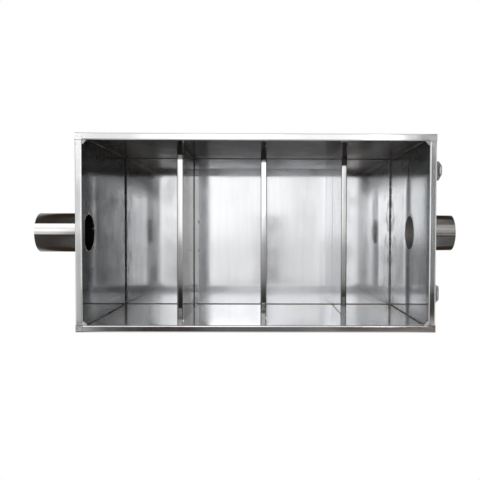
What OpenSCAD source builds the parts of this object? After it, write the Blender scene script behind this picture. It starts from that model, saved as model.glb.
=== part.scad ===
// Sand trap: an open-topped settling tank, folded and welded from stainless sheet.
// Water enters high at one end, steps over three weirs that get lower, and leaves
// at the other end. Two toggle latches on the outlet end pull a lid down.
// Origin: the middle of the floor's underside. +X points to the outlet, +Y to the
// back wall and +Z up.

/* [Tank] */
// Length over the two end walls
tank_l = 500; // [440:5:700]
// Width over the two long walls
tank_w = 276; // [240:2:400]
// Height from the floor's underside to the top of the rim
tank_h = 294; // [270:2:400]
// Thickness of the sheet in the tank, the end walls and the weirs
sheet = 1.5; // [1:0.1:2.5]
// Inside radius of the folds in that sheet
fold_r = 0.3; // [0.3:0.1:2.5]

/* [Rim] */
// Width of the rim, from a wall's outer face to the opening
rim_w = 10; // [9:0.5:16]
// Depth of the lip that turns down round the opening
lip_h = 13; // [8:0.5:20]
// Leg of the weld in each inner corner of the rim
rim_weld = 3; // [1.5:0.5:6]

/* [Weirs] */
// First weir's face, measured from the inlet end wall's outer face
weir_1_x = 128; // [100:1:150]
// Second weir's face, measured the same way
weir_2_x = 255.5; // [200:0.5:300]
// Third weir's face, measured the same way
weir_3_x = 389.5; // [340:0.5:410]
// Height of the first weir above the floor's underside
weir_1_h = 209; // [180:1:230]
// Height of the second weir
weir_2_h = 174; // [140:1:200]
// Height of the third weir
weir_3_h = 128; // [80:1:160]
// Width of a weir's top flange
top_flange = 9.5; // [7:0.5:12]
// Depth of the edge that turns down from the top flange
top_return = 4.5; // [4:0.5:7]
// Width of a weir's flanges along the long walls
side_flange = 10.5; // [7:0.5:15]
// Width of a weir's flange on the floor
floor_flange = 9.5; // [7:0.5:15]
// Radius of the top flange's two free corners
flange_corner_r = 3.5; // [1:0.5:6]
// Clearance between neighbouring flanges where they meet in a corner
notch_gap = 0.5; // [0.3:0.1:2]

/* [Pipes] */
// Outer diameter of both pipe stubs
pipe_d = 57; // [40:1:63]
// Wall of both pipe stubs
pipe_wall = 1.5; // [1:0.1:3]
// Depth of the inlet's axis below the rim
inlet_drop = 61.5; // [50:0.5:80]
// Depth of the outlet's axis below the rim
outlet_drop = 146.5; // [100:0.5:180]
// How far the inlet stub stands out of its end wall
inlet_out = 69; // [40:1:120]
// How far the outlet stub stands out of its end wall
outlet_out = 65.5; // [40:0.5:120]
// Clearance round a stub in its end wall
pipe_gap = 0.15; // [0.05:0.05:0.5]
// Leg of the weld round a stub
pipe_weld = 3; // [2:0.5:5]
// Leg of the weld inside each end wall
end_weld = 2.5; // [1.5:0.5:4]

/* [Latches] */
// Distance of the back latch's middle from the back wall's outer face
latch_1_inset = 49.5; // [30:0.5:85]
// Distance of the front latch's middle from the front wall's outer face
latch_2_inset = 53; // [30:0.5:85]
// Depth of a latch plate's top edge below the rim
latch_drop = 12; // [9:0.5:30]
// Height of a latch plate
latch_h = 50; // [44:1:70]
// Width of a latch plate
latch_w = 20; // [18:0.5:24]
// Radius of a latch plate's corners
latch_corner = 3; // [1:0.5:5]
// Thickness of a latch's sheet
latch_sheet = 1.2; // [0.8:0.1:1.5]
// Inside radius of the folds in a latch
latch_fold_r = 0.6; // [0.4:0.1:0.8]
// Distance of the lever's pin from the end wall
pin_out = 6.5; // [6:0.1:9]
// Distance of the lever's pin below the plate's top edge
pin_drop = 8; // [6:0.5:12]
// Diameter of the lever's pin
pin_d = 2.5; // [2:0.1:3]
// Diameter of the heads on the pin
pin_head_d = 4.5; // [4:0.1:5.5]
// Thickness of the heads on the pin
pin_head_h = 0.8; // [0.5:0.1:1]
// Radius of the ears and of the lever's end round the pin
ear_r = 3.3; // [3:0.1:3.6]
// Clearance between the lever's sides and the ears
ear_gap = 0.3; // [0.2:0.05:0.6]
// Radial clearance of the pin and of the wire in their holes
hole_gap = 0.05; // [0.02:0.01:0.09]
// Length of the lever, from its pin to the bend of the finger tab
lever_l = 38; // [32:1:50]
// Distance of the lever's outer face from its pin
lever_face = 3.6; // [3.4:0.1:5]
// Distance of the lever's open edges from its pin, towards the wall
lever_edge = 3.9; // [3.4:0.1:4.2]
// Length of the lever's finger tab
tab_l = 7; // [4:0.5:12]
// Angle between the finger tab and the lever
tab_turn = 40; // [20:5:60]
// Radius of the finger tab's corners
tab_corner = 3; // [1:0.5:4]
// Diameter of the bail's wire
wire_d = 2.4; // [2:0.1:2.8]
// Radius of the wire's bends, along its centre line
wire_r = 3; // [2.5:0.1:3.5]
// Distance from the lever's pin down to the bail's pivot
bail_arm = 12; // [10:0.5:15]
// How much nearer to the wall the bail's pivot lies than the pin
bail_set = 1.5; // [1:0.1:1.8]
// Width between the centre lines of the bail's two legs
bail_w = 24.8; // [24.4:0.2:30]
// Reach of the bail from its pivot to the middle of its top
bail_reach = 28; // [26:0.5:30]
// Height above its pivot at which the bail's legs turn inwards
bail_knee = 16; // [12:0.5:17]
// Width of the bail's top, between its corners
bail_top = 10; // [8:0.5:12]
// How far the bail's two ends reach in past the lever's sides
bail_past = 0.5; // [0.2:0.1:2]
// Lean of the back latch's bail away from the wall, as it was left
lean_1 = 4; // [-5:0.5:10]
// Lean of the front latch's bail
lean_2 = -4; // [-6:0.5:10]

/* [Hidden] */
$fn = 64;
// Faces round a wire or a small bend
fine = 32;
// Added to a cutter so that it passes through a face
cut = 1;
// A wire swells by this much at a bend, and its straights run this far into it
swell = 0.01;
bite = 0.15;
// Outer radius of the folds in the tank's sheet
fold_out = fold_r + sheet;
// Outer radius of the folds in a latch
latch_fold_out = latch_fold_r + latch_sheet;
// Half sizes of the tank, outside and between its long walls
half_l = tank_l / 2;
half_w = tank_w / 2;
room_w = half_w - sheet;
// Half width of the opening
mouth_w = half_w - rim_w;
pipe_r = pipe_d / 2;
// Steel colours
bright = [0.80, 0.81, 0.82];
rolled = [0.70, 0.71, 0.73];
seam = [0.52, 0.50, 0.47];
// Lever and wire sizes that follow from the latch's own
ear_face = latch_w / 2;
lever_w = latch_w - 2 * latch_sheet - 2 * ear_gap;
stub_end = lever_w / 2 - latch_sheet - bail_past;

// A pie slice of a radius, from one angle through another
module slice(reach, from, turn) {
    far = 2 * reach;
    polygon([
        [0, 0],
        [far * cos(from), far * sin(from)],
        [far * cos(from + turn / 2), far * sin(from + turn / 2)],
        [far * cos(from + turn), far * sin(from + turn)]
    ]);
}

// Section of a folded strip. It runs along +X with the sheet on its left, and each
// step is a straight run followed by a turn in degrees, left being positive.
module strip(steps, thick, inside_r, n = 0) {
    if (n < len(steps)) {
        run = steps[n][0];
        turn = steps[n][1];
        outside_r = inside_r + thick;
        if (run > 0) square([run, thick]);
        translate([run, 0]) {
            if (turn > 0) translate([0, outside_r]) {
                bend(inside_r, outside_r, -90, turn);
                rotate(turn) translate([0, -outside_r]) strip(steps, thick, inside_r, n + 1);
            }
            if (turn < 0) translate([0, -inside_r]) {
                bend(inside_r, outside_r, 90, turn);
                rotate(turn) translate([0, inside_r]) strip(steps, thick, inside_r, n + 1);
            }
        }
    }
}

// Section of one bend
module bend(inside_r, outside_r, from, turn) {
    intersection() {
        difference() {
            circle(outside_r);
            circle(inside_r);
        }
        slice(outside_r, from, turn);
    }
}

// Section of a folded edge. The sheet comes up along X = 0 and folds over to +X, with
// its outer corner at the origin. A drop folds its free edge down again.
module edge_fold(width, drop = 0) {
    if (drop > 0) {
        steps = [[drop - fold_out, 90], [width - 2 * fold_out, 90]];
        translate([width, -drop]) rotate(90) strip(steps, sheet, fold_r);
    } else {
        translate([width, 0]) rotate(180) strip([[width - fold_out, 90]], sheet, fold_r);
    }
}

// Stands a section up: its X stays X and its Y becomes Z, centred along Y
module across(length) {
    rotate([90, 0, 0]) linear_extrude(length, center = true) children();
}

// Lays a section across the tank: its X becomes Y and its Y becomes Z
module along_x(from, to) {
    translate([from, 0, 0]) rotate([90, 0, 90]) linear_extrude(to - from) children();
}

// Space between the long walls, the floor and the rim, rounded as the folds are
module room_section() {
    low = sheet + fold_r;
    high = tank_h - sheet - fold_r;
    side = room_w - fold_r;
    translate([-room_w, low]) square([2 * room_w, high - low]);
    translate([-side, sheet]) square([2 * side, tank_h - 2 * sheet]);
    for (y = [-side, side], z = [low, high]) translate([y, z]) circle(fold_r);
}

// Section of the sheet that makes the floor and both long walls, with its rims
module shell_section(lipped) {
    wall = [tank_h - 2 * fold_out, 90];
    floor_run = [tank_w - 2 * fold_out, 90];
    if (lipped) {
        rim = [rim_w - 2 * fold_out, 90];
        lip = lip_h - fold_out;
        translate([-mouth_w, tank_h - lip_h]) rotate(90)
            strip([[lip, 90], rim, wall, floor_run, wall, rim, [lip, 0]], sheet, fold_r);
    } else {
        rim = rim_w - fold_out;
        translate([-mouth_w, tank_h]) rotate(180)
            strip([[rim, 90], wall, floor_run, wall, [rim, 0]], sheet, fold_r);
    }
}

// Floor and long walls. The lips stop where the end walls' lips run across.
module tank_body() {
    mouth_l = half_l - rim_w;
    color(rolled) {
        along_x(-mouth_l, mouth_l) shell_section(true);
        along_x(-half_l, -mouth_l) shell_section(false);
        along_x(mouth_l, half_l) shell_section(false);
    }
}

// An end wall, drawn with its outer face at X = 0 and the tank on its +X side
module end_plate(pipe_z) {
    fold_z = tank_h - fold_out;
    difference() {
        union() {
            difference() {
                along_x(0, sheet) room_section();
                translate([-cut, -mouth_w, fold_z]) cube([sheet + 2 * cut, 2 * mouth_w, tank_h]);
            }
            translate([0, 0, tank_h]) across(2 * mouth_w) edge_fold(rim_w, lip_h);
        }
        translate([-cut, 0, pipe_z]) rotate([0, 90, 0])
            cylinder(h = sheet + 2 * cut, r = pipe_r + pipe_gap, $fn = 96);
    }
}

module inlet_end_plate() {
    color(rolled) translate([-half_l, 0, 0]) end_plate(tank_h - inlet_drop);
}

module outlet_end_plate() {
    color(rolled) translate([half_l, 0, 0]) mirror([1, 0, 0]) end_plate(tank_h - outlet_drop);
}

// A weir: a sheet with all four edges folded towards the outlet. It stands on the
// floor, and its side flanges lie on the long walls.
module weir(height) {
    low = sheet;
    web_low = low + fold_out;
    web_high = height - fold_out;
    side_high = height - top_return - notch_gap;
    web_w = room_w - fold_out;
    floor_half = web_w - notch_gap;
    side_low = web_low + notch_gap;
    // Web, full width only beside the top flange
    translate([0, -web_w, web_low]) cube([sheet, 2 * web_w, web_high - web_low]);
    translate([0, -room_w, side_high + notch_gap])
        cube([sheet, 2 * room_w, web_high - side_high - notch_gap]);
    // Top flange, its free corners rounded
    intersection() {
        translate([0, 0, height]) across(2 * room_w) edge_fold(top_flange, top_return);
        translate([0, 0, height - top_return - cut]) linear_extrude(top_return + 2 * cut)
            rounded_end(top_flange, room_w, flange_corner_r);
    }
    // Floor flange
    translate([0, 0, low]) mirror([0, 0, 1]) across(2 * floor_half) edge_fold(floor_flange);
    // Side flanges
    for (side = [-1, 1])
        translate([0, side * room_w, side_low]) linear_extrude(side_high - side_low)
            mirror([0, side < 0 ? 1 : 0]) edge_fold(side_flange);
}

// A rectangle from X = 0, centred on Y, whose two far corners are rounded
module rounded_end(length, half, r) {
    translate([-cut, -half]) square([length - r + cut, 2 * half]);
    translate([0, r - half]) square([length, 2 * (half - r)]);
    for (y = [-half + r, half - r]) translate([length - r, y]) circle(r);
}

module baffle_1() {
    color(bright) translate([weir_1_x - half_l, 0, 0]) weir(weir_1_h);
}

module baffle_2() {
    color(bright) translate([weir_2_x - half_l, 0, 0]) weir(weir_2_h);
}

module baffle_3() {
    color(bright) translate([weir_3_x - half_l, 0, 0]) weir(weir_3_h);
}

// A pipe stub along +X, from the end wall's inner face at X = -sheet
module pipe_stub(out) {
    translate([-sheet, 0, 0]) rotate([0, 90, 0]) difference() {
        cylinder(h = out + sheet, r = pipe_r, $fn = 96);
        translate([0, 0, -cut]) cylinder(h = out + sheet + 2 * cut, r = pipe_r - pipe_wall, $fn = 96);
    }
}

// Weld round a stub, on the end wall's outer face
module stub_weld() {
    inner = pipe_r + hole_gap;
    rotate([0, 90, 0]) rotate_extrude($fn = 96)
        polygon([[inner, 0], [inner + pipe_weld, 0], [inner, pipe_weld]]);
}

// Places something drawn along +X on the outside of either end wall
module at_inlet() {
    translate([-half_l, 0, tank_h - inlet_drop]) mirror([1, 0, 0]) children();
}

module at_outlet() {
    translate([half_l, 0, tank_h - outlet_drop]) children();
}

module inlet_pipe() {
    color(bright) at_inlet() pipe_stub(inlet_out);
}

module outlet_pipe() {
    color(bright) at_outlet() pipe_stub(outlet_out);
}

module inlet_pipe_weld() {
    color(seam) at_inlet() stub_weld();
}

module outlet_pipe_weld() {
    color(seam) at_outlet() stub_weld();
}

// Weld inside an end wall, up one long wall, along the floor and up the other
module corner_bead() {
    face = sheet;
    leg = end_weld;
    intersection() {
        along_x(face, face + leg) room_section();
        union() {
            translate([face, 0, sheet]) across(2 * room_w) polygon([[0, 0], [leg, 0], [0, leg]]);
            for (side = [-1, 1])
                translate([face, side * room_w, sheet]) linear_extrude(tank_h - 2 * sheet)
                    polygon([[0, 0], [leg, 0], [0, -side * leg]]);
        }
    }
}

module inlet_end_weld() {
    color(seam) translate([-half_l, 0, 0]) corner_bead();
}

module outlet_end_weld() {
    color(seam) translate([half_l, 0, 0]) mirror([1, 0, 0]) corner_bead();
}

// Hollow-faced beads where the lips meet in the four corners of the opening
module rim_corner_welds() {
    mouth_l = half_l - rim_w;
    low = tank_h - lip_h;
    color(seam) for (sx = [-1, 1], sy = [-1, 1])
        translate([sx * mouth_l, sy * mouth_w, low]) mirror([sx > 0 ? 1 : 0, 0]) mirror([0, sy > 0 ? 1 : 0])
            linear_extrude(lip_h - fold_out) difference() {
                square(rim_weld);
                translate([rim_weld, rim_weld]) circle(rim_weld, $fn = fine);
            }
}

// Section of a latch channel: its back lies on Y = 0 and its sides stand up to +Y
module channel(width, depth) {
    side = [depth - latch_fold_out, 90];
    translate([-width / 2, depth]) rotate(-90)
        strip([side, [width - 2 * latch_fold_out, 90], [side[0], 0]], latch_sheet, latch_fold_r);
}

// Latch frame: X out of the end wall, Z up, with the plate's top edge at Z = 0.
// Places a latch on the outlet end wall: the first at the back, the second in front.
module at_latch(n) {
    y = n == 1 ? half_w - latch_1_inset : latch_2_inset - half_w;
    translate([half_l, y, tank_h - latch_drop]) children();
}

// Runs a side view of a latch piece right across it: X out of the wall, Y up
module side_view(width) {
    rotate([90, 0, 0]) linear_extrude(width, center = true) children();
}

// Plate with rounded corners, and two ears for the lever's pin
module latch_base() {
    corner = latch_corner;
    reach = pin_out + ear_r;
    low = -pin_drop - 3 * ear_r;
    difference() {
        union() {
            rotate([90, 0, 90]) linear_extrude(latch_sheet) difference() {
                translate([-ear_face, -latch_h]) square([latch_w, latch_h]);
                for (side = [-1, 1], z = [0, 1])
                    translate([side * (ear_face - corner), z * (2 * corner - latch_h) - corner])
                        mirror([side < 0 ? 1 : 0, 0]) mirror([0, z])
                            difference() {
                                square(corner + cut);
                                circle(corner, $fn = fine);
                            }
            }
            intersection() {
                translate([0, 0, low]) linear_extrude(-low) rotate(-90) channel(latch_w, reach);
                side_view(latch_w + cut) {
                    translate([pin_out, -pin_drop]) circle(ear_r);
                    polygon([
                        [0, low], [latch_fold_out, low], [pin_out + ear_r, -pin_drop],
                        [pin_out, -pin_drop + ear_r], [0, -pin_drop + ear_r]
                    ]);
                }
            }
        }
        translate([pin_out, 0, -pin_drop]) rotate([90, 0, 0])
            cylinder(h = latch_w + cut, r = pin_d / 2 + hole_gap, center = true, $fn = fine);
    }
}

// Lever, a channel open to the wall with a finger tab folded outwards
module latch_lever() {
    bail_z = -pin_drop - bail_arm;
    low = -pin_drop - lever_l;
    deep = lever_face + lever_edge;
    face = pin_out + lever_face;
    web_top = -pin_drop - ear_r;
    tab_w = lever_w - 2 * latch_fold_out;
    tab_root = 2;
    tab_fall = latch_fold_out * sin(tab_turn) + tab_l * cos(tab_turn);
    difference() {
        union() {
            intersection() {
                translate([face, 0, low]) linear_extrude(lever_l + ear_r) rotate(90) channel(lever_w, deep);
                side_view(lever_w + cut) {
                    translate([pin_out, -pin_drop]) circle(ear_r);
                    translate([face - deep, low]) square([deep, web_top - low]);
                    translate([pin_out - ear_r, web_top - cut]) square([2 * ear_r, ear_r + cut]);
                }
            }
            intersection() {
                translate([face, 0, low]) side_view(tab_w) mirror([1, 0]) rotate(-90) translate([-tab_root, 0])
                    strip([[tab_root, -tab_turn], [tab_l, 0]], latch_sheet, latch_fold_r);
                translate([0, 0, low + tab_root]) rotate([0, 90, 0]) linear_extrude(face + 2 * tab_l)
                    rounded_end(tab_root + tab_fall, tab_w / 2, tab_corner);
            }
        }
        translate([pin_out, 0, -pin_drop]) rotate([90, 0, 0])
            cylinder(h = lever_w + cut, r = pin_d / 2 + hole_gap, center = true, $fn = fine);
        translate([pin_out - bail_set, 0, bail_z]) rotate([90, 0, 0])
            cylinder(h = lever_w + cut, r = wire_d / 2 + hole_gap, center = true, $fn = fine);
    }
}

// Pin with a head against each ear
module latch_pin() {
    translate([pin_out, 0, -pin_drop]) rotate([90, 0, 0]) {
        cylinder(h = latch_w, r = pin_d / 2, center = true, $fn = fine);
        for (side = [-1, 1])
            translate([0, 0, side * (ear_face + pin_head_h / 2)])
                cylinder(h = pin_head_h, r = pin_head_d / 2, center = true, $fn = fine);
    }
}

// A wire bent at each of its corners, in the XY plane
module bent_wire(corners, n = 1) {
    if (n < len(corners)) {
        here = corners[n - 1];
        ahead = corners[n] - here;
        last = n == len(corners) - 1;
        start = n > 1 ? bend_trim(corners, n - 1) : 0;
        end = norm(ahead) - (last ? 0 : bend_trim(corners, n));
        bite_here = n > 1 ? bite : 0;
        bite_there = last ? 0 : bite;
        translate(here) rotate(atan2(ahead[1], ahead[0])) {
            translate([start - bite_here, 0]) rotate([0, 90, 0])
                cylinder(h = end - start + bite_here + bite_there, r = wire_d / 2, $fn = fine);
            if (!last) translate([end, wire_r]) rotate(-90)
                rotate_extrude(angle = turn_at(corners, n))
                    translate([wire_r, 0]) circle(wire_d / 2 + swell, $fn = fine);
        }
        bent_wire(corners, n + 1);
    }
}

// Turn of a path at one of its corners, in degrees
function turn_at(corners, n) =
    let (a = corners[n] - corners[n - 1], b = corners[n + 1] - corners[n])
    atan2(a[0] * b[1] - a[1] * b[0], a[0] * b[0] + a[1] * b[1]);

// Length that a bend takes off the straight on either side of its corner
function bend_trim(corners, n) = wire_r * tan(turn_at(corners, n) / 2);

// Wire bail, drawn standing straight up from its pivot
module bail_wire() {
    half = bail_w / 2;
    corners = [
        [stub_end, 0], [half, 0], [half, bail_knee], [bail_top / 2, bail_reach],
        [-bail_top / 2, bail_reach], [-half, bail_knee], [-half, 0], [-stub_end, 0]
    ];
    rotate([90, 0, 90]) bent_wire(corners);
}

module latch_bail(lean) {
    translate([pin_out - bail_set, 0, -pin_drop - bail_arm]) rotate([0, lean, 0]) bail_wire();
}

module latch_1_base() {
    color(rolled) at_latch(1) latch_base();
}

module latch_1_lever() {
    color(bright) at_latch(1) latch_lever();
}

module latch_1_pin() {
    color(seam) at_latch(1) latch_pin();
}

module latch_1_bail() {
    color(bright) at_latch(1) latch_bail(lean_1);
}

module latch_2_base() {
    color(rolled) at_latch(2) latch_base();
}

module latch_2_lever() {
    color(bright) at_latch(2) latch_lever();
}

module latch_2_pin() {
    color(seam) at_latch(2) latch_pin();
}

module latch_2_bail() {
    color(bright) at_latch(2) latch_bail(lean_2);
}

tank_body();
inlet_end_plate();
outlet_end_plate();
baffle_1();
baffle_2();
baffle_3();
inlet_pipe();
outlet_pipe();
inlet_pipe_weld();
outlet_pipe_weld();
inlet_end_weld();
outlet_end_weld();
rim_corner_welds();
latch_1_base();
latch_1_lever();
latch_1_pin();
latch_1_bail();
latch_2_base();
latch_2_lever();
latch_2_pin();
latch_2_bail();
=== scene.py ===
"""Looks of the sand trap: a folded and welded stainless tank, dressed and lit as it was photographed.

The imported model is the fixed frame. Its sheets, tubes and latches keep their shape and get their
finish here, and the plain weld fillets give way to rippled beads.
"""
import logging
import math
import random
from dataclasses import dataclass, field
from enum import Enum

import bpy
from mathutils import Matrix, Vector


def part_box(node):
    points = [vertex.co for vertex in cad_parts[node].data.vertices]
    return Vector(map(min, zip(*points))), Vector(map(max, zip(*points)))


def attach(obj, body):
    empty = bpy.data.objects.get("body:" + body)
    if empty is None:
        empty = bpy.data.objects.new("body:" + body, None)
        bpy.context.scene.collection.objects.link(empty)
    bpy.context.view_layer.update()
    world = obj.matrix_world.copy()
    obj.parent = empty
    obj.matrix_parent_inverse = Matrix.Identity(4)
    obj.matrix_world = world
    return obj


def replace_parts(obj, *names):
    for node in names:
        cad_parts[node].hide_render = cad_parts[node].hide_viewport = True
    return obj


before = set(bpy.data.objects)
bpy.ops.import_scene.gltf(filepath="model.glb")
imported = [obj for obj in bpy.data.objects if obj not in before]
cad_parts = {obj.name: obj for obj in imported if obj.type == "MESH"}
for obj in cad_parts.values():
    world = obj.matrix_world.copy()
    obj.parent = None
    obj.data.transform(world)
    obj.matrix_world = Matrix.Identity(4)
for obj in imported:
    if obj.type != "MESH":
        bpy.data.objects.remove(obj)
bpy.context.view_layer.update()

logging.basicConfig(level=logging.INFO, format="%(name)s: %(message)s")
log = logging.getLogger("sand_trap")

MM = 0.001
TANK_BODY = "tank"
WHITE = (1.0, 1.0, 1.0, 1.0)
Socket = bpy.types.NodeSocket


def linear(code: str) -> tuple[float, float, float, float]:
    """Turns an sRGB hex colour into a linear one.

    Args:
        code: the colour, such as "#d0d2d4".

    Returns:
        Linear red, green and blue, and an alpha of 1.
    """
    steps = [int(code[i:i + 2], 16) / 255 for i in (1, 3, 5)]
    lit = [s / 12.92 if s <= 0.04045 else ((s + 0.055) / 1.055) ** 2.4 for s in steps]
    return (*lit, 1.0)


def add_node(tree: bpy.types.NodeTree, kind: str, settings: dict | None = None,
             **links: object) -> bpy.types.Node:
    """Adds one node with its settings, its values and its links.

    Args:
        tree: the node tree that gets the node.
        kind: Blender's type name of the node, such as "ShaderNodeMath".
        settings: attributes of the node, such as {"operation": "ADD"}.
        links: socket values or output sockets by socket name, with _ for a space. A name such
            as in0 means the socket with that number.

    Returns:
        The new node.
    """
    node = tree.nodes.new(kind)
    for name, value in (settings or {}).items():
        setattr(node, name, value)
    for name, value in links.items():
        numbered = name.startswith("in") and name[2:].isdigit()
        socket = node.inputs[int(name[2:])] if numbered else node.inputs[name.replace("_", " ")]
        if isinstance(value, Socket):
            tree.links.new(value, socket)
        else:
            socket.default_value = value
    return node


class Tree:
    """A node tree with the few sums that every finish here needs."""

    def __init__(self, tree: bpy.types.NodeTree) -> None:
        """Keeps the tree and empties it."""
        self.tree = tree
        tree.nodes.clear()

    def add(self, kind: str, settings: dict | None = None, **links: object) -> bpy.types.Node:
        """Adds one node, as add_node says."""
        return add_node(self.tree, kind, settings, **links)

    def math(self, operation: str, a: object, b: object = 0.0) -> Socket:
        """Returns the result of one sum of two values."""
        return self.add("ShaderNodeMath", {"operation": operation}, in0=a, in1=b).outputs[0]

    def product(self, *values: object) -> Socket:
        """Returns the product of two or more values."""
        total = values[0]
        for value in values[1:]:
            total = self.math("MULTIPLY", total, value)
        return total

    def most(self, *values: object) -> Socket:
        """Returns the largest of two or more values."""
        total = values[0]
        for value in values[1:]:
            total = self.math("MAXIMUM", total, value)
        return total

    def ramp(self, value: object, low: float, high: float, to_low: float = 0.0,
             to_high: float = 1.0) -> Socket:
        """Returns a value that goes smoothly from to_low to to_high.

        Args:
            value: the socket that drives it.
            low: where the climb starts.
            high: where it ends.
            to_low: the result before the climb.
            to_high: the result after it.

        Returns:
            The result's socket.
        """
        settings = {"interpolation_type": "SMOOTHSTEP"}
        links = {"Value": value, "From Min": low, "From Max": high, "To Min": to_low, "To Max": to_high}
        return self.add("ShaderNodeMapRange", settings, **links).outputs[0]

    def near(self, value: object, middle: float, reach: float, edge: float) -> Socket:
        """Returns 1 where a value lies within reach of the middle, and 0 beyond a soft edge."""
        off = self.math("ABSOLUTE", self.math("SUBTRACT", value, middle))
        return self.ramp(off, reach, reach + edge, 1.0, 0.0)

    def mix(self, share: object, a: object, b: object) -> Socket:
        """Returns a colour between two colours."""
        node = self.add("ShaderNodeMix", {"data_type": "RGBA"}, in0=share, in6=a, in7=b)
        return node.outputs[2]

    def noise(self, place: Socket, size: tuple[float, float, float], detail: float = 2.0) -> Socket:
        """Returns noise whose grains have a real size in metres along each axis."""
        scaled = self.add("ShaderNodeMapping", {"vector_type": "POINT"}, Vector=place,
                          Scale=[1 / s for s in size])
        return self.add("ShaderNodeTexNoise", None, Vector=scaled.outputs[0], Scale=1.0,
                        Detail=detail).outputs[0]

    def axes(self, place: Socket) -> tuple[Socket, Socket, Socket]:
        """Returns the three outputs X, Y and Z of a place."""
        return tuple(self.add("ShaderNodeSeparateXYZ", None, Vector=place).outputs)

    def radius(self, a: object, b: object) -> Socket:
        """Returns the length of the hypotenuse over two values."""
        square = self.math("ADD", self.math("MULTIPLY", a, a), self.math("MULTIPLY", b, b))
        return self.math("SQRT", square)


@dataclass(frozen=True)
class TankSizes:
    """The tank's main sizes in metres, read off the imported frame."""

    half_l: float
    half_w: float
    high: float
    sheet: float
    rim_w: float
    lip_h: float
    weir_x: tuple[float, ...]
    weir_h: tuple[float, ...]
    weir_flange: float
    inlet_z: float
    outlet_z: float
    pipe_r: float

    @classmethod
    def from_frame(cls) -> "TankSizes":
        """Returns the sizes that the frame's boxes give."""
        low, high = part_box("tank_body")
        weirs = [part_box(f"baffle_{n}") for n in (1, 2, 3)]
        bead_low, bead_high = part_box("rim_corner_welds")
        inlet, outlet = (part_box(name) for name in ("inlet_pipe", "outlet_pipe"))
        sheet = weirs[0][0].z
        return cls(
            half_l=high.x, half_w=high.y, high=high.z, sheet=sheet,
            rim_w=high.x - bead_high.x, lip_h=high.z - bead_low.z,
            weir_x=tuple(w[0].x for w in weirs), weir_h=tuple(w[1].z for w in weirs),
            weir_flange=weirs[0][1].x - weirs[0][0].x,
            inlet_z=(inlet[0].z + inlet[1].z) / 2, outlet_z=(outlet[0].z + outlet[1].z) / 2,
            pipe_r=(inlet[1].z - inlet[0].z) / 2,
        )


class Grain(Enum):
    """The way a sheet's rolling grain runs: the length of a streak along each axis."""

    ROUND_THE_TANK = (0.007, 0.16, 0.16)
    ACROSS_THE_END = (0.16, 0.16, 0.007)
    ALONG_THE_TUBE = (0.09, 0.003, 0.003)
    NONE = (0.004, 0.004, 0.004)


@dataclass(frozen=True)
class SteelFinish:
    """Cold-rolled stainless steel sheet, bright and a little wavy.

    It mirrors what is near and blurs it slightly. Its grain draws faint broad streaks, and its
    waves pull the mirrored light into soft flames.
    """

    name: str
    colour: str
    shade: str
    roughness: float
    grain: Grain
    sizes: TankSizes
    wave_depth: float = 0.10 * MM
    wave_size: float = 70 * MM
    tint: str = "#6b5a48"
    spread: float = 0.78
    # The pale colour that painted light lifts the steel to
    untouched: str = "#ffffff"
    gloss: float = 1.0
    dulling: float = 0.25
    edge_tint: float = 0.95

    def stains_and_shade(self, tree: Tree, place: Socket) -> Socket | None:
        """Returns how far the steel is darkened at each place, by real stains or by painted shade, or None if
        it isn't.
        """
        return None

    def painted_light(self, tree: Tree, place: Socket) -> Socket | None:
        """Returns where the colour is painted lighter, as painted light, or None."""
        return None

    def scuffed(self, tree: Tree, place: Socket) -> Socket | None:
        """Returns the roughness that wear has added, or None."""
        return None

    def height(self, tree: Tree, place: Socket) -> Socket:
        """Returns the height of the sheet's waves, in wave depths."""
        return tree.noise(place, (self.wave_size,) * 3, 1.0)

    def build(self) -> bpy.types.Material:
        """Returns the material."""
        material = bpy.data.materials.new(self.name)
        material.use_nodes = True
        tree = Tree(material.node_tree)
        place = tree.add("ShaderNodeTexCoord").outputs["Object"]
        grain = tree.noise(place, self.grain.value, 3.0)
        cloud = tree.noise(place, (45 * MM,) * 3, 4.0)
        fine = tree.noise(place, (1.1 * MM,) * 3, 2.0)
        streak = tree.math("MULTIPLY", grain, cloud)
        colour = tree.mix(tree.ramp(streak, 0.12, 0.40), linear(self.shade), linear(self.colour))
        rough = tree.ramp(tree.math("ADD", cloud, tree.math("MULTIPLY", fine, 0.25)), 0.40, 0.90,
                          self.roughness * 0.8, self.roughness * 1.25)
        # Painted light: the colour is lifted toward a paler one and the roughness lowered where this mask is
        # on
        painted_light = self.painted_light(tree, place)
        if painted_light is not None:
            colour = tree.mix(painted_light, colour, linear(self.untouched))
            rough = tree.math("MULTIPLY", rough, tree.ramp(painted_light, 0.0, 1.0, 1.0, self.gloss))
        # Real stains and painted shade both darken the colour toward the tint
        stains_and_shade = self.stains_and_shade(tree, place)
        if stains_and_shade is not None:
            colour = tree.mix(stains_and_shade, colour, linear(self.tint))
            rough = tree.math("ADD", rough, tree.math("MULTIPLY", stains_and_shade, self.dulling))
        scuffed = self.scuffed(tree, place)
        if scuffed is not None:
            rough = tree.math("ADD", rough, scuffed)
        waves = tree.add("ShaderNodeBump", None, Strength=1.0, Distance=self.wave_depth,
                         Height=self.height(tree, place))
        # Rolling lines run round the tank, so they blur what is mirrored along it, on X
        along = tree.add("ShaderNodeCombineXYZ", None, X=1.0, Y=0.0, Z=0.03)
        # The edge tint darkens what is seen at a grazing angle, where metal is white without it
        shader = tree.add("ShaderNodeBsdfPrincipled", None, Base_Color=colour, Metallic=1.0,
                          Roughness=rough, Anisotropic=self.spread, Tangent=along.outputs[0],
                          Normal=waves.outputs[0], Specular_Tint=(self.edge_tint,) * 3 + (1.0,))
        tree.add("ShaderNodeOutputMaterial", None, Surface=shader.outputs[0])
        return material


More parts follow.
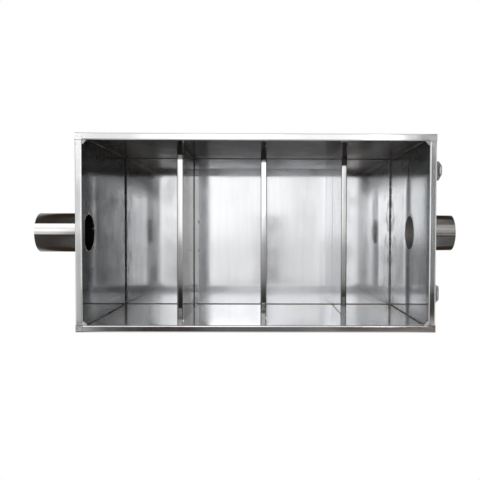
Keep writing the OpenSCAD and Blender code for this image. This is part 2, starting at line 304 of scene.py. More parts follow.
@dataclass(frozen=True)
class RimmedSteel(SteelFinish):
    """A sheet of the tank's wall. Its rim is painted brighter than its walls, on top and inside the fold
    under it, as painted light.
    """

    def painted_light(self, tree: Tree, place: Socket) -> Socket:
        """Returns 1 where light is painted: on the rim's top and inside its fold, behind the lip, and 0
        elsewhere.
        """
        s = self.sizes
        x, y, z = tree.axes(place)
        wide_x = tree.math("ABSOLUTE", x)
        wide_y = tree.math("ABSOLUTE", y)
        past_lip = tree.math("MAXIMUM", tree.math("SUBTRACT", wide_x, s.half_l - s.rim_w),
                             tree.math("SUBTRACT", wide_y, s.half_w - s.rim_w))
        edge = 0.1 * MM
        top = tree.ramp(z, s.high - 0.4 * s.sheet, s.high - 0.4 * s.sheet + edge, 0.0, 0.85)
        fold = tree.product(
            tree.ramp(past_lip, 0.7 * s.sheet, 0.7 * s.sheet + edge),
            tree.ramp(wide_x, s.half_l - 0.5 * s.sheet, s.half_l - 0.5 * s.sheet + edge, 1.0, 0.0),
            tree.ramp(wide_y, s.half_w - 0.5 * s.sheet, s.half_w - 0.5 * s.sheet + edge, 1.0, 0.0),
            tree.ramp(z, s.high - s.lip_h - 3 * MM, s.high - s.lip_h),
            tree.ramp(z, s.high - 0.5 * s.sheet, s.high - 0.5 * s.sheet + edge, 1.0, 0.0),
        )
        return tree.most(top, fold)

    def rim_seams(self, tree: Tree, place: Socket) -> Socket:
        """Returns the fine dark seams in the rim's corners and the smudge where each was ground."""
        s = self.sizes
        x, y, z = tree.axes(place)
        on_rim = tree.ramp(z, s.high - 1.5 * MM, s.high - 0.5 * MM)
        at_end = tree.ramp(tree.math("ABSOLUTE", x), s.half_l - s.rim_w - 3 * MM, s.half_l - s.rim_w)
        off = tree.math("ABSOLUTE", tree.math("SUBTRACT", tree.math("ABSOLUTE", y), s.half_w - s.rim_w))
        seam = tree.ramp(off, 0.25 * MM, 0.6 * MM, 0.8, 0.0)
        patch = tree.ramp(tree.noise(place, (5 * MM, 5 * MM, 5 * MM), 3.0), 0.42, 0.62)
        ground = tree.product(tree.ramp(off, 3 * MM, 9 * MM, 0.4, 0.0), patch)
        return tree.product(tree.most(seam, ground), on_rim, at_end)


@dataclass(frozen=True)
class WeirSteel(SteelFinish):
    """A weir's sheet. Its flanges are painted brighter than its webs as painted light, and its creases,
    flange tops and first web are painted darker as painted shade.
    """

    def painted_light(self, tree: Tree, place: Socket) -> Socket:
        """Returns 1 on the flanges, where light is painted, and 0 on the webs."""
        s = self.sizes
        x, _, z = tree.axes(place)
        off_web = [tree.math("SUBTRACT", x, left + 0.5 * s.sheet) for left in s.weir_x]
        on_web = [tree.product(tree.near(off, 0.0, 0.5 * s.sheet + 0.1 * MM, 0.1 * MM),
                               tree.ramp(z, high - 1.2 * MM, high - 0.9 * MM, 1.0, 0.0))
                  for off, high in zip(off_web, s.weir_h)]
        return tree.math("SUBTRACT", 1.0, tree.most(*on_web))

    def stains_and_shade(self, tree: Tree, place: Socket) -> Socket:
        """Returns painted shade: dark lines at each foot, crease and free edge, the flange tops darkened
        towards the front and at both ends, and the first web darkened.
        """
        s = self.sizes
        x, y, z = tree.axes(place)
        to_wall = tree.math("SUBTRACT", s.half_w - s.sheet, tree.math("ABSOLUTE", y))
        # Painted shade: the flange tops darken towards the front
        film = tree.ramp(y, -0.75 * s.half_w, 0.5 * s.half_w, 0.72, 0.0)
        back_end = tree.ramp(y, s.half_w - 29 * MM, s.half_w - 25 * MM, 0.0, 0.85)
        marks = []
        for left, high in zip(s.weir_x, s.weir_h):
            off = tree.math("SUBTRACT", x, left)
            foot = tree.radius(tree.math("SUBTRACT", off, s.sheet), tree.math("SUBTRACT", z, 2 * s.sheet))
            crease = tree.radius(off, to_wall)
            free_edge = tree.radius(tree.math("SUBTRACT", off, s.weir_flange), to_wall)
            here = tree.near(off, 0.5 * s.weir_flange, 0.5 * s.weir_flange, 1 * MM)
            on_top = tree.ramp(z, high - 0.5 * s.sheet, high - 0.4 * s.sheet)
            end = tree.ramp(to_wall, 0.4 * MM, 1.2 * MM, 0.8, 0.0)
            # Painted shade: dark lines at the foot, in the crease and along the free edge
            lines = tree.most(tree.ramp(foot, 0.9 * MM, 1.7 * MM, 0.92, 0.0),
                              tree.ramp(crease, 1.0 * MM, 1.7 * MM, 0.9, 0.0),
                              tree.ramp(free_edge, 1.0 * MM, 1.8 * MM, 0.8, 0.0))
            on_flange = tree.product(on_top, tree.most(film, end, back_end))
            marks.append(tree.product(here, tree.most(lines, on_flange)))
        # Painted shade: the first web is darker
        web = tree.product(tree.near(x, s.weir_x[0] + 0.5 * s.sheet, 0.5 * s.sheet + 0.1 * MM, 0.1 * MM),
                           tree.ramp(z, s.weir_h[0] - 1.2 * MM, s.weir_h[0] - 0.9 * MM, 1.0, 0.0), 0.75)
        return tree.most(web, *marks)


@dataclass(frozen=True)
class BodySteel(RimmedSteel):
    """The long sheet that makes the floor and both long walls.

    Welding has left it heat tinted and smudged along its two ends, and the corners of its rim
    are ground.
    """

    def stains_and_shade(self, tree: Tree, place: Socket) -> Socket:
        """Returns smudges by the end welds, painted shade on the end chambers' walls, a painted dark line in
        the floor's folds and the rim's seams.
        """
        s = self.sizes
        x, y, z = tree.axes(place)
        wide_y = tree.math("ABSOLUTE", y)
        patch = tree.ramp(tree.noise(place, (4 * MM, 30 * MM, 30 * MM), 4.0), 0.46, 0.66)
        off_end = tree.math("SUBTRACT", s.half_l, tree.math("ABSOLUTE", x))
        by_end = tree.near(off_end, 3 * MM, 2 * MM, 12 * MM)
        on_floor = tree.ramp(z, 3 * MM, 8 * MM, 1.0, 0.0)
        smudge = tree.product(by_end, patch, on_floor, 0.35)
        # Painted shade on the end chambers' walls, darkest in the corners
        past_weirs = tree.most(tree.ramp(x, s.weir_x[0], s.weir_x[0] + 1 * MM, 1.0, 0.0),
                               tree.ramp(x, s.weir_x[2], s.weir_x[2] + 1 * MM))
        inside = tree.ramp(wide_y, s.half_w - 0.5 * s.sheet, s.half_w - 0.4 * s.sheet, 1.0, 0.0)
        on_wall = tree.product(tree.ramp(z, 4 * MM, 5 * MM),
                               tree.ramp(z, s.high - 2 * MM, s.high - 1 * MM, 1.0, 0.0))
        # The back corners are seen darkest, so the painted shade is thickest there
        at_back = tree.product(tree.ramp(off_end, 5 * MM, 95 * MM, 0.8, 0.1), tree.ramp(y, 0.0, 1 * MM))
        in_corner = tree.most(tree.ramp(off_end, 12 * MM, 50 * MM, 0.3, 0.1), at_back)
        film = tree.product(past_weirs, inside, on_wall, in_corner)
        # Painted shade: a dark line along each fold between floor and wall
        fold = tree.radius(tree.math("SUBTRACT", wide_y, s.half_w - s.sheet),
                           tree.math("SUBTRACT", z, s.sheet))
        line = tree.ramp(fold, 0.7 * MM, 1.7 * MM, 0.9, 0.0)
        return tree.most(smudge, film, line, self.rim_seams(tree, place))

    def scuffed(self, tree: Tree, place: Socket) -> Socket:
        """Returns the wear of the floor along the front wall."""
        _, y, z = tree.axes(place)
        return tree.product(tree.ramp(y, -0.85 * self.sizes.half_w, -0.62 * self.sizes.half_w, 0.06, 0.0),
                            tree.ramp(z, 2 * MM, 3 * MM, 1.0, 0.0))

    def height(self, tree: Tree, place: Socket) -> Socket:
        """Returns the sheet's waves, with the floor's slow rise to the fold of the front wall."""
        y = tree.axes(place)[1]
        near_fold = tree.add("ShaderNodeMapRange", None, Value=y, From_Min=-0.6 * self.sizes.half_w,
                             From_Max=-self.sizes.half_w, To_Min=0.0, To_Max=1.0).outputs[0]
        waves = tree.noise(place, (self.wave_size,) * 3, 1.0)
        return tree.math("ADD", waves, tree.product(near_fold, near_fold, 3.5))


@dataclass(frozen=True)
class EndSteel(RimmedSteel):
    """An end wall, puckered and heat tinted where its pipe is welded on."""

    pipe_z: float = 0.0
    # How dark the painted shade near the long walls is
    film: float = 0.0
    band: float = 0.0

    def from_pipe(self, tree: Tree, place: Socket) -> Socket:
        """Returns the distance from the pipe's axis."""
        _, y, z = tree.axes(place)
        return tree.radius(y, tree.math("SUBTRACT", z, self.pipe_z))

    def stains_and_shade(self, tree: Tree, place: Socket) -> Socket:
        """Returns the heat tint round the pipe, painted shade near the long walls and at the back, and the
        darker band across the wall.
        """
        s = self.sizes
        x, y, z = tree.axes(place)
        off = self.from_pipe(tree, place)
        patch = tree.ramp(tree.noise(place, (7 * MM,) * 3, 3.0), 0.35, 0.65, 0.3, 1.0)
        heat = tree.product(tree.near(off, s.pipe_r, 1.5 * MM, 6 * MM), patch, 0.55)
        below_rim = tree.ramp(z, s.high - 4 * MM, s.high - 2 * MM, 1.0, 0.0)
        inside = tree.ramp(tree.math("ABSOLUTE", x), s.half_l - 0.6 * s.sheet, s.half_l - 0.5 * s.sheet,
                           1.0, 0.0)
        to_wall = tree.math("SUBTRACT", s.half_w, tree.math("ABSOLUTE", y))
        # Painted shade: darker near the long walls and at the back
        by_walls = tree.product(tree.ramp(to_wall, 4 * MM, 26 * MM, 1.0, 0.0), self.film)
        # The back corners are seen darkest, so the painted shade is thickest there
        at_back = tree.ramp(y, 0.45 * s.half_w, 0.85 * s.half_w, 0.0, 0.75)
        film = tree.product(tree.most(by_walls, at_back), inside, below_rim)
        band = tree.product(tree.near(z, self.pipe_z - 8 * MM, 3 * MM, 22 * MM), inside, self.band)
        return tree.most(heat, film, band, self.rim_seams(tree, place))

    def height(self, tree: Tree, place: Socket) -> Socket:
        """Returns the sheet's waves, with a ridge across it at the pipe's height."""
        z = tree.axes(place)[2]
        ridge = tree.near(z, self.pipe_z - 6 * MM, 2 * MM, 34 * MM)
        waves = tree.noise(place, (self.wave_size,) * 3, 1.0)
        return tree.math("ADD", waves, tree.math("MULTIPLY", ridge, 2.0))


@dataclass(frozen=True)
class WeldSteel(SteelFinish):
    """Weld metal: pale and rippled, with burnt specks that lie thickest along the floor."""

    burnt_from: float = 0.58

    def stains_and_shade(self, tree: Tree, place: Socket) -> Socket:
        """Returns the burnt specks."""
        specks = tree.ramp(tree.noise(place, (1.5 * MM,) * 3, 2.0), self.burnt_from, self.burnt_from + 0.06)
        on_floor = tree.ramp(tree.axes(place)[2], 4 * MM, 8 * MM, 0.97, 0.1)
        return tree.product(specks, on_floor)


@dataclass(frozen=True)
class TubeSteel(SteelFinish):
    """Polished tube. Outside it is bright and drawn lengthwise, inside it is painted dark, as painted shade.
    """

    bore_r: float = 0.0
    axis_z: float = 0.0
    painted_bore_shade: float = 0.92

    def stains_and_shade(self, tree: Tree, place: Socket) -> Socket:
        """Returns the bore's painted shade, the heat tint at the root of the stub and the fine seam on top.
        """
        x, y, z = tree.axes(place)
        off = tree.radius(y, tree.math("SUBTRACT", z, self.axis_z))
        # Painted shade inside the bore
        bore = tree.ramp(off, self.bore_r, self.bore_r + 0.5 * MM, self.painted_bore_shade, 0.0)
        root = tree.near(tree.math("ABSOLUTE", x), self.sizes.half_l, 3 * MM, 5 * MM)
        seam = tree.product(tree.near(y, 0.23 * self.sizes.pipe_r, 0.2 * MM, 0.5 * MM),
                            tree.ramp(z, self.axis_z, self.axis_z + 1 * MM), 0.3)
        return tree.most(bore, tree.math("MULTIPLY", root, 0.35), seam)


@dataclass(frozen=True)
class Studio:
    """The camera over the tank, the light round it and the pale floor under it.

    Sideways distances on the floor are in metres. flag_path is where the stubs' mirrored path
    over the floor starts on X, and how far it goes on X for each metre on Y.
    """

    eye: tuple[float, float, float] = (0.01116, 0.00882, 1.10378)
    turn_deg: tuple[float, float, float] = (-1.574, -0.507, 0.150)
    focal_px: float = 585.6
    centre_px: tuple[float, float] = (269.4, 243.1)
    frame_px: float = 480.0
    sensor: float = 36.0
    bounces: int = 14
    room: str = "#383532"
    fill: str = "#cfcfce"
    # The dark colour of the floor's painted shadow and painted dark strips
    flag: str = "#362d24"
    matt_floor: str = "#e8e6e2"
    floor_size: float = 12.0
    floor_drop: float = 0.5 * MM
    # Half sizes of the floor's painted shadow round the tank, in metres
    shaded: tuple[float, float] = (0.30, 0.14)
    flag_path: tuple[float, float] = (0.28, 0.355)

    def camera(self) -> None:
        """Sets the camera where the photograph was taken."""
        data = bpy.data.cameras.new("camera")
        data.sensor_width = self.sensor
        data.lens = self.focal_px / self.frame_px * self.sensor
        middle = self.frame_px / 2
        data.shift_x = (middle - self.centre_px[0]) / self.frame_px
        data.shift_y = (self.centre_px[1] - middle) / self.frame_px
        eye = bpy.data.objects.new("camera", data)
        eye.location = self.eye
        eye.rotation_euler = [math.radians(a) for a in self.turn_deg]
        bpy.context.scene.collection.objects.link(eye)
        bpy.context.scene.camera = eye

    def fill_share(self, tree: Tree, x: Socket, slope_x: Socket, slope_y: Socket) -> Socket:
        """Returns where the plain light round the studio shows: low down, but not at the flags."""
        low_down = tree.ramp(tree.radius(slope_x, slope_y), 0.42, 0.65)
        flags = tree.most(*(tree.near(x, *flag) for flag in SKY_FLAGS))
        return tree.product(low_down, tree.math("SUBTRACT", 1.0, flags))

    def world(self) -> None:
        """Lights the tank from a soft studio: bright over it, dark in front and plain round it."""
        world = bpy.data.worlds.new("studio")
        world.use_nodes = True
        bpy.context.scene.world = world
        tree = Tree(world.node_tree)
        x, y, z = tree.axes(tree.add("ShaderNodeTexCoord").outputs["Generated"])
        up = tree.math("MAXIMUM", z, 0.02)
        slope_x = tree.math("DIVIDE", x, up)
        slope_y = tree.math("DIVIDE", y, up)
        light = linear(self.room)
        back = tree.ramp(slope_y, *SPLIT)
        for strip in STRIPS:
            light = strip.over(tree, slope_x, back, light)
        for panel in PANELS:
            light = panel.over(tree, slope_x, slope_y, light)
        light = tree.mix(self.fill_share(tree, x, slope_x, slope_y), light, linear(self.fill))
        rays = tree.add("ShaderNodeLightPath")
        shown = tree.mix(rays.outputs["Is Camera Ray"], light, WHITE)
        glow = tree.add("ShaderNodeBackground", None, Color=shown, Strength=1.0)
        tree.add("ShaderNodeOutputWorld", None, Surface=glow.outputs[0])

    def floor_share(self, tree: Tree, place: Socket) -> Socket:
        """Returns how bright the floor is mirrored: a painted shadow near the tank, and painted dark strips
        on the stubs' path, which only reflections show.
        """
        x, y, _ = tree.axes(place)
        wide_x = tree.math("ABSOLUTE", x)
        wide_y = tree.math("ABSOLUTE", y)
        off_tank = tree.math("MAXIMUM", tree.math("SUBTRACT", wide_x, self.shaded[0]),
                             tree.math("SUBTRACT", wide_y, self.shaded[1]))
        start, lean = self.flag_path
        off_path = tree.math("SUBTRACT", tree.math("SUBTRACT", wide_x, start),
                             tree.math("MULTIPLY", wide_y, lean))
        flags = tree.near(tree.math("DIVIDE", off_path, tree.math("ADD", wide_y, 1.0)), 0.0, 0.028, 0.04)
        # Painted shadow round the tank and painted dark strips, seen only in reflections
        return tree.product(tree.ramp(off_tank, 0.0, 0.7, 0.4, 0.8), tree.math("SUBTRACT", 1.0, flags))

    def floor(self) -> None:
        """Lays the pale floor, white to the camera, shaded near the tank and clear from below."""
        bpy.ops.object.select_all(action="DESELECT")
        bpy.ops.mesh.primitive_plane_add(size=self.floor_size, location=(0.0, 0.0, -self.floor_drop))
        floor = bpy.context.object
        floor.name = "floor"
        material = bpy.data.materials.new("pale_floor")
        material.use_nodes = True
        tree = Tree(material.node_tree)
        place = tree.add("ShaderNodeTexCoord").outputs["Object"]
        pale = tree.mix(self.floor_share(tree, place), linear(self.flag), WHITE)
        rays = tree.add("ShaderNodeLightPath")
        shown = tree.mix(rays.outputs["Is Camera Ray"], pale, WHITE)
        glow = tree.add("ShaderNodeEmission", None, Color=shown, Strength=1.0)
        matt = tree.add("ShaderNodeBsdfDiffuse", None, Color=linear(self.matt_floor))
        lit = tree.most(*(rays.outputs[f"Is {kind} Ray"] for kind in ("Camera", "Glossy", "Transmission")))
        mixed = tree.add("ShaderNodeMixShader", None, in0=lit, in1=matt.outputs[0], in2=glow.outputs[0])
        below = tree.add("ShaderNodeNewGeometry").outputs["Backfacing"]
        clear = tree.add("ShaderNodeBsdfTransparent")
        seen = tree.add("ShaderNodeMixShader", None, in0=below, in1=mixed.outputs[0], in2=clear.outputs[0])
        tree.add("ShaderNodeOutputMaterial", None, Surface=seen.outputs[0])
        floor.data.materials.append(material)

    def build(self) -> None:
        """Makes the camera, the world and the floor, and lets light bounce often inside the tank."""
        self.camera()
        self.world()
        self.floor()
        scene = bpy.context.scene
        scene.view_settings.view_transform = "Standard"
        scene.cycles.max_bounces = self.bounces
        scene.cycles.glossy_bounces = self.bounces


@dataclass(frozen=True)
class Panel:
    """A soft-edged panel of the studio, placed by the slopes at which the tank sees it.

    A slope is sideways distance over height: 0 is straight up and 1 is 45 degrees over. level is
    the panel's brightness and edge the width of its soft edge.
    """

    left: float
    right: float
    front: float
    back: float
    level: float
    edge: float = 0.02
    colour: str = "#ffffff"

    def over(self, tree: Tree, x: Socket, y: Socket, under: object) -> Socket:
        """Returns the light with this panel in front of what is under it."""
        half = self.edge / 2
        share = tree.product(
            tree.ramp(x, self.left - half, self.left + half),
            tree.ramp(x, self.right - half, self.right + half, 1, 0),
            tree.ramp(y, self.front - half, self.front + half),
            tree.ramp(y, self.back - half, self.back + half, 1, 0),
        )
        level = tuple(part * self.level for part in linear(self.colour)[:3])
        return tree.mix(share, under, (*level, 1.0))


@dataclass(frozen=True)
class Strip:
    """A strip of the studio's ceiling that runs from front to back.

    left and right are slopes, as in a panel. far is its brightness over the back and near its
    brightness over the front.
    """

    left: float
    right: float
    far: float
    near: float
    edge: float = 0.012

    def over(self, tree: Tree, x: Socket, back: Socket, under: object) -> Socket:
        """Returns the light with this strip in front of what is under it."""
        half = self.edge / 2
        share = tree.math("MULTIPLY", tree.ramp(x, self.left - half, self.left + half),
                          tree.ramp(x, self.right - half, self.right + half, 1, 0))
        level = tree.mix(back, (self.near,) * 3 + (1.0,), (self.far,) * 3 + (1.0,))
        return tree.mix(share, under, level)


FAR = 100.0
WARM = "#fff1e8"
# Where the strips' front part ends and their back part starts
SPLIT = (-0.045, 0.005)
# The dark flags low down that the two stubs mirror: middle, half width and soft edge
SKY_FLAGS = ((-0.335, 0.045, 0.02), (0.3, 0.03, 0.02))
STRIPS = (
    # The left end and the lamps that the right wall mirrors, with the dark gap between them
    Strip(-FAR, -0.34, 1.0, 0.9, 0.02),
    Strip(-0.34, -0.295, 0.5, 0.42, 0.02),
    Strip(-0.295, -0.254, 2.0, 0.2, 0.016),
    Strip(-0.254, -0.236, 0.05, 0.05, 0.01),
    Strip(-0.236, -0.212, 1.75, 0.8, 0.012),
    Strip(-0.212, -0.183, 3.5, 2.0, 0.02),
    Strip(-0.183, -0.1675, 0.5, 0.95, 0.016),
    Strip(-0.1675, -0.152, 0.1, 0.5, 0.012),
    # The lamps over the middle. Each weir's flange sees a strip that ends sooner in front
    Strip(-0.152, -0.138, 1.05, 0.15, 0.01),
    Strip(-0.138, -0.1165, 2.0, 0.95, 0.012),
    Strip(-0.1165, -0.095, 2.0, 1.6, 0.012),
    Strip(-0.095, -0.04, 1.38, 1.1, 0.012),
    Strip(-0.04, -0.007, 1.36, 1.3, 0.01),
    Strip(-0.007, 0.003, 1.5, 0.5, 0.008),
    Strip(0.003, 0.022, 1.7, 0.3, 0.012),
    Strip(0.022, 0.06, 1.4, 1.15, 0.02),
    Strip(0.06, 0.1, 0.9, 0.92, 0.02),
    Strip(0.1, 0.119, 2.2, 1.7, 0.014),
    Strip(0.119, 0.1305, 1.4, 0.6, 0.01),
    Strip(0.1305, 0.1385, 0.98, 0.4, 0.008),
    # The dimmer right side
    Strip(0.1385, 0.15, 0.45, 0.5, 0.01),
    Strip(0.15, 0.175, 0.65, 0.75, 0.014),
    Strip(0.175, 0.2, 3.2, 2.6, 0.012),
    Strip(0.2, 0.223, 5.6, 4.6, 0.014),
    Strip(0.223, 0.246, 0.2, 0.2, 0.014),
    Strip(0.246, 0.283, 0.02, 0.02, 0.014),
    Strip(0.284, 0.289, 0.55, 0.42, 0.004),
    Strip(0.289, FAR, 0.26, 0.22, 0.006),
)
PANELS = (
    # The back of the ceiling, which the front wall mirrors, and the dark room behind it
    Panel(-FAR, -0.33, 0.12, 1.4, 1.6, 0.03),
    Panel(-0.33, -0.2, 0.12, 1.4, 0.78, 0.03),
    Panel(-0.2, -0.14, 0.12, 1.4, 0.95, 0.03),
    Panel(-0.14, 0.01, 0.12, 1.4, 2.05, 0.03),
    Panel(0.01, 0.12, 0.12, 1.4, 0.95, 0.03),
    Panel(0.12, 0.18, 0.12, 1.4, 0.85, 0.03),
    Panel(0.18, 0.238, 0.12, 1.4, 2.2, 0.03),
    Panel(0.238, 0.28, 0.12, 1.4, 0.08, 0.02),
    Panel(0.28, FAR, 0.12, 1.4, 0.4, 0.02),
    Panel(-FAR, FAR, 1.4, FAR, 0.04, 0.2, WARM),
    # The dark stand in front of the middle
    Panel(0.003, 0.024, -0.3, 0.02, 0.1, 0.012),
    # The dark front, which the back wall mirrors
    Panel(-0.29, FAR, -FAR, -0.103, 0.04, 0.014, WARM),
    Panel(-0.11, 0.11, -0.3, -0.103, 0.11, 0.014),
    Panel(-0.09, 0.004, -0.112, -0.098, 0.3, 0.014),
    Panel(-FAR, -0.29, -FAR, -0.18, 0.05, 0.03, WARM),
    Panel(0.08, FAR, -0.25, -0.16, 0.5, 0.03, WARM),
)


@dataclass
class BeadPath:
    """A weld bead's way: its places, each with the direction in which the torch moved."""

    places: list[tuple[Vector, Vector, float]] = field(default_factory=list)

    def line(self, start: Vector, end: Vector, pitch: float, size: float = 1.0) -> "BeadPath":
        """Adds a straight run.

        Args:
            start: where it starts.
            end: where it ends.
            pitch: distance between two ripples.
            size: the ripples' size, as a share of the bead's usual size.

        Returns:
            This path.
        """
        way = end - start
        count = max(2, round(way.length / pitch))
        for n in range(count + 1):
            self.places.append((start + way * (n / count), way.normalized(), size))
        return self

    def ring(self, middle: Vector, radius: float, pitch: float) -> "BeadPath":
        """Adds a ring round an axis along X."""
        count = round(2 * math.pi * radius / pitch)
        for n in range(count):
            turn = 2 * math.pi * n / count
            out = Vector((0.0, math.cos(turn), math.sin(turn)))
            self.places.append((middle + out * radius, Vector((0.0, -out.z, out.y)), 1.0))
        return self


@dataclass
class BeadMaker:
    """Lays rippled weld beads: overlapping coins of metal, fused into one skin."""

    finish: bpy.types.Material
    radius: float = 1.9 * MM
    thickness: float = 1.1 * MM
    pitch: float = 1.7 * MM
    jitter: float = 0.22
    voxel: float = 0.45 * MM
    seed: int = 7

    def coin(self) -> bpy.types.Object:
        """Returns one ripple, a small coin that stands across X."""
        bpy.ops.object.select_all(action="DESELECT")
        bpy.ops.mesh.primitive_uv_sphere_add(segments=10, ring_count=6, radius=self.radius)
        bpy.ops.object.mode_set(mode="EDIT")
        bpy.ops.mesh.select_all(action="SELECT")
        bpy.ops.transform.resize(value=(self.thickness / self.radius, 1.0, 1.0))
        bpy.ops.object.mode_set(mode="OBJECT")
        return bpy.context.object

    def lay(self, name: str, path: BeadPath) -> bpy.types.Object:
        """Returns one bead that follows a path.

        Args:
            name: the piece's name.
            path: where its ripples lie.

        Returns:
            The finished piece, with its material.
        """
        rng = random.Random(self.seed)
        coin = self.coin()
        ripples = []
        for place, way, share in path.places:
            ripple = bpy.data.objects.new(name, coin.data.copy())
            turn = way.to_track_quat("X", "Z").to_matrix().to_4x4()
            size = share * (1 + self.jitter * rng.uniform(-1, 1))
            wander = Vector([rng.uniform(-1, 1) * self.jitter * self.radius * share * 0.6 for _ in range(3)])
            ripple.data.transform(Matrix.Translation(place + wander) @ turn @ Matrix.Scale(size, 4))
            bpy.context.scene.collection.objects.link(ripple)
            ripples.append(ripple)
        bpy.data.objects.remove(coin)
        bpy.ops.object.select_all(action="DESELECT")
        for ripple in ripples:
            ripple.select_set(True)
        bead = ripples[0]
        bpy.context.view_layer.objects.active = bead
        bpy.ops.object.join()
        fuse = bead.modifiers.new("fuse", "REMESH")
        fuse.mode = "VOXEL"
        fuse.voxel_size = self.voxel
        bpy.ops.object.modifier_apply(modifier=fuse.name)
        bpy.ops.object.shade_smooth()
        bead.name = name
        bead.data.materials.clear()
        bead.data.materials.append(self.finish)
        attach(bead, TANK_BODY)
        log.info("%s laid with %d ripples and %d faces", name, len(path.places), len(bead.data.polygons))
        return bead


@dataclass
class Welds:
    """Every weld on the tank that can be seen."""

    sizes: TankSizes
    finish: bpy.types.Material
    burnt: bpy.types.Material
    sink: float = 1.0 * MM

    def end_beads(self) -> None:
        """Lays the bead inside each end wall: down one long wall, along the floor and up the other."""
        maker = BeadMaker(self.burnt, radius=1.35 * MM, thickness=0.9 * MM, pitch=1.35 * MM, jitter=0.35,
                          voxel=0.3 * MM)
        x = self.sizes.half_l - self.sizes.sheet - self.sink * 0.9
        y = self.sizes.half_w - self.sizes.sheet - self.sink * 0.4
        low = self.sizes.sheet + self.sink * 0.7
        top = self.sizes.high - 5 * MM
        up_pitch, up_size = 0.7 * maker.pitch, 0.55
        for side, end, finish in ((-1, "inlet", self.burnt), (1, "outlet", self.finish)):
            corners = [Vector((side * x, y * way, z))
                       for way, z in ((1, top), (1, low), (-1, low), (-1, top))]
            path = BeadPath()
            path.line(corners[0], corners[1], up_pitch, up_size)
            path.line(corners[1], corners[2], maker.pitch)
            path.line(corners[2], corners[3], up_pitch, up_size)
            maker.finish = finish
            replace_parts(maker.lay(f"{end}_end_bead", path), f"{end}_end_weld")
            maker.seed += 1

    def pipe_beads(self) -> None:
        """Lays the ring round each pipe stub, outside its end wall."""
        maker = BeadMaker(self.finish, radius=2.0 * MM, pitch=1.9 * MM)
        for side, end, z in ((-1, "inlet", self.sizes.inlet_z), (1, "outlet", self.sizes.outlet_z)):
            middle = Vector((side * (self.sizes.half_l + self.sink * 0.7), 0.0, z))
            path = BeadPath().ring(middle, self.sizes.pipe_r + self.sink * 0.7, maker.pitch)
            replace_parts(maker.lay(f"{end}_pipe_bead", path), f"{end}_pipe_weld")
            maker.seed += 1

    def rim_beads(self) -> None:
        """Lays the short upright beads in the inner corners of the rim."""
        maker = BeadMaker(self.finish, radius=1.5 * MM, thickness=0.9 * MM, pitch=1.3 * MM, voxel=0.3 * MM)
        x = self.sizes.half_l - self.sizes.rim_w - self.sink * 0.3
        y = self.sizes.half_w - self.sizes.rim_w - self.sink * 0.3
        low = self.sizes.high - self.sizes.lip_h + 1.5 * MM
        top = self.sizes.high - 2.2 * MM
        rows = self.sizes.high - 1.9 * MM
        path = BeadPath()
        for sx in (-1, 1):
            for sy in (-1, 1):
                path.line(Vector((sx * x, sy * y, low)), Vector((sx * x, sy * y, top)), maker.pitch)
                self.fill_corner(path, Vector((sx * x, sy * y, rows)), maker.pitch)
        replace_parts(maker.lay("rim_corner_beads", path), "rim_corner_welds")

    def fill_corner(self, path: BeadPath, corner: Vector, pitch: float) -> None:
        """Fills one inner corner of the rim with rows of metal across it, ground nearly flush.

        Args:
            path: the bead path that gets the rows.
            corner: the corner, near the rim's top.
            pitch: distance between two ripples.
        """
        inwards_x = Vector((-math.copysign(1.0, corner.x), 0.0, 0.0))
        inwards_y = Vector((0.0, -math.copysign(1.0, corner.y), 0.0))
        for reach in (1.5 * MM, 3.0 * MM, 4.5 * MM):
            path.line(corner + inwards_x * reach, corner + inwards_y * reach, pitch, 0.9)

    def weir_tacks(self) -> None:
        """Sets two tacks beside the first weir's foot."""
        maker = BeadMaker(self.finish, radius=0.9 * MM, thickness=0.9 * MM, pitch=1.2 * MM, voxel=0.3 * MM,
                          seed=23)
        path = BeadPath()
        foot = Vector((self.sizes.weir_x[0] + self.sizes.weir_flange - 0.5 * MM, 0.0, self.sizes.sheet))
        for y in (19 * MM, -35 * MM):
            start, end = (foot + Vector((0.0, y + reach, 0.0)) for reach in (-2 * MM, 2 * MM))
            path.line(start, end, maker.pitch)
        maker.lay("weir_tacks", path)

    def build(self) -> None:
        """Lays every bead."""
        self.end_beads()
        self.pipe_beads()
        self.rim_beads()
        self.weir_tacks()


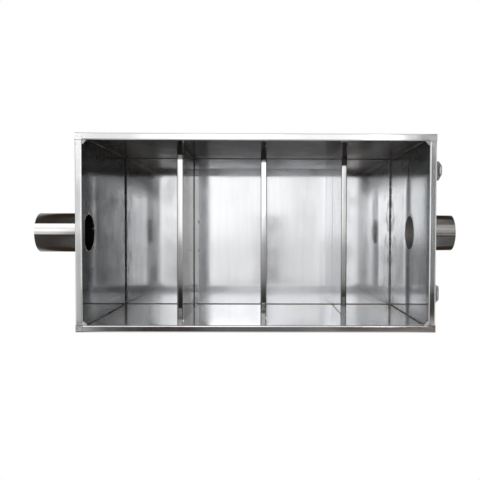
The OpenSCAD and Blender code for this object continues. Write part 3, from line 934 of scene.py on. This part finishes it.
@dataclass
class TankDressing:
    """The tank's own sheets: body, end walls and weirs, its stubs and its latches."""

    sizes: TankSizes

    def finishes(self) -> dict[str, bpy.types.Material]:
        """Returns each finish by the part of a node's name that it is for, the first match first."""
        s = self.sizes
        bore = s.pipe_r - 1.4 * MM
        # Rolled sheet, a bright soft mirror with faint streaks across the tank
        body = BodySteel("rolled_steel_body", "#dcdddf", "#d8d9db", 0.088, Grain.ROUND_THE_TANK, s)
        # Rolled sheet set upright and warped by its pipe's weld, with painted shade near the long walls and
        # the back. The inlet's side is the duller one
        end = {"colour": "#dadbdc", "shade": "#d6d7d8", "roughness": 0.075, "grain": Grain.ACROSS_THE_END,
               "sizes": s, "wave_depth": 0.2 * MM, "film": 0.3}
        inlet_end = EndSteel("rolled_steel_inlet_end", tint="#6e6c6a", pipe_z=s.inlet_z, edge_tint=0.4, **end)
        outlet_end = EndSteel("rolled_steel_outlet_end", tint="#3e3d3c", pipe_z=s.outlet_z, band=0.75,
                              edge_tint=0.9, **end)
        # Rolled and folded sheet: glossy flanges painted brighter than the webs as painted light, and the
        # first weir painted darker as painted shade
        weir = {"colour": "#dcdddf", "shade": "#d8d9db", "roughness": 0.08, "grain": Grain.ROUND_THE_TANK,
                "sizes": s, "tint": "#241f1a", "untouched": "#f8f8f8", "gloss": 0.5, "dulling": 0.05}
        first_weir = WeirSteel("rolled_steel_first_weir", edge_tint=0.62, **weir)
        weirs = WeirSteel("rolled_steel_weirs", edge_tint=0.9, **weir)
        # Polished tube, which gives hard light and dark bands along it, and a bore painted dark as painted
        # shade
        tube = {"colour": "#dad9d7", "shade": "#d0cfcd", "grain": Grain.ALONG_THE_TUBE, "sizes": s,
                "wave_depth": 0.01 * MM, "spread": 0.0, "bore_r": bore}
        inlet = TubeSteel("polished_inlet_tube", roughness=0.09, tint="#241f1a", axis_z=s.inlet_z, **tube)
        outlet = TubeSteel("polished_outlet_tube", roughness=0.12, tint="#8a857e", axis_z=s.outlet_z,
                           painted_bore_shade=0.5, dulling=0.9, **tube)
        # Pressed and tumbled sheet, a soft satin without streaks, for the latches
        press = SteelFinish("pressed_steel", "#c8c8c7", "#b4b4b3", 0.2, Grain.NONE, s, wave_depth=0.02 * MM,
                            spread=0.0)
        kinds = {"tank_body": body, "inlet_end_plate": inlet_end, "outlet_end_plate": outlet_end,
                 "baffle_1": first_weir, "baffle": weirs, "inlet_pipe": inlet, "outlet_pipe": outlet,
                 "": press}
        return {key: finish.build() for key, finish in kinds.items()}

    def dress(self) -> None:
        """Gives each sheet its finish."""
        finishes = self.finishes()
        for name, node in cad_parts.items():
            finish = next(finish for key, finish in finishes.items() if key in name)
            for slot in node.material_slots:
                slot.material = finish
            log.info("%s gets %s", name, finish.name)


def main() -> None:
    """Builds the studio and dresses the tank."""
    sizes = TankSizes.from_frame()
    log.info("sizes read off the frame: %s", sizes)
    Studio().build()
    TankDressing(sizes).dress()
    # Weld metal as laid: matt and pale against the mirrors round it, with dark specks where it burnt
    rough = {"colour": "#ebeae7", "shade": "#c4c0b9", "roughness": 0.42, "grain": Grain.NONE, "sizes": sizes,
             "wave_depth": 0.05 * MM, "wave_size": 3 * MM, "spread": 0.0}
    weld = WeldSteel("weld_metal", tint="#15110e", **rough)
    burnt = WeldSteel("burnt_weld_metal", tint="#080605", burnt_from=0.49, **rough)
    Welds(sizes, weld.build(), burnt.build()).build()


if __name__ == "__main__":
    main()
